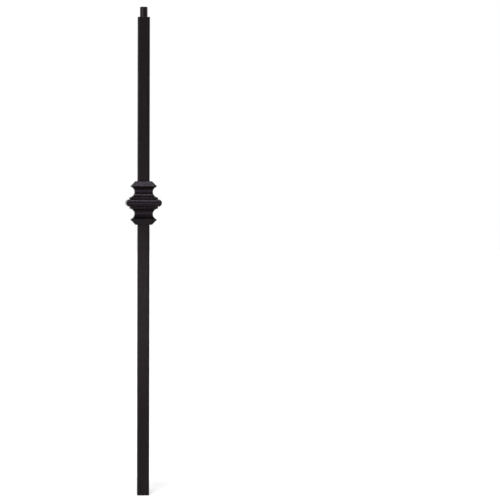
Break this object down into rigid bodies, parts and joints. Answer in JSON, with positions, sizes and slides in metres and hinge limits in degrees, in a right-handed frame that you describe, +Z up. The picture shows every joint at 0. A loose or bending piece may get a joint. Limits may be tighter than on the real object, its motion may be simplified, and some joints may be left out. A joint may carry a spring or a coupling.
{
  "type": "iron newel post",
  "caption": "Slim square iron newel post with rounded corners, a mitred cast knuckle above mid height and a round dowel pin on top for the handrail.",
  "frame": {"origin": "middle of the foot, where the post stands", "axes": "+Z up the post towards the dowel pin, X and Y square to the bar's flat sides, front on -Y"},
  "size_m": [0.0888, 0.0888, 1.2192],
  "materials": {
    "bar_paint": "satin black paint on a square steel bar",
    "pin_paint": "satin black paint on a round steel pin",
    "knuckle_paint": "satin black paint on a slightly grainy casting"
  },
  "bodies": {
    "root": {"newel_bar": "bar_paint", "dowel_pin": "pin_paint", "knuckle": "knuckle_paint"}
  },
  "joints": []
}
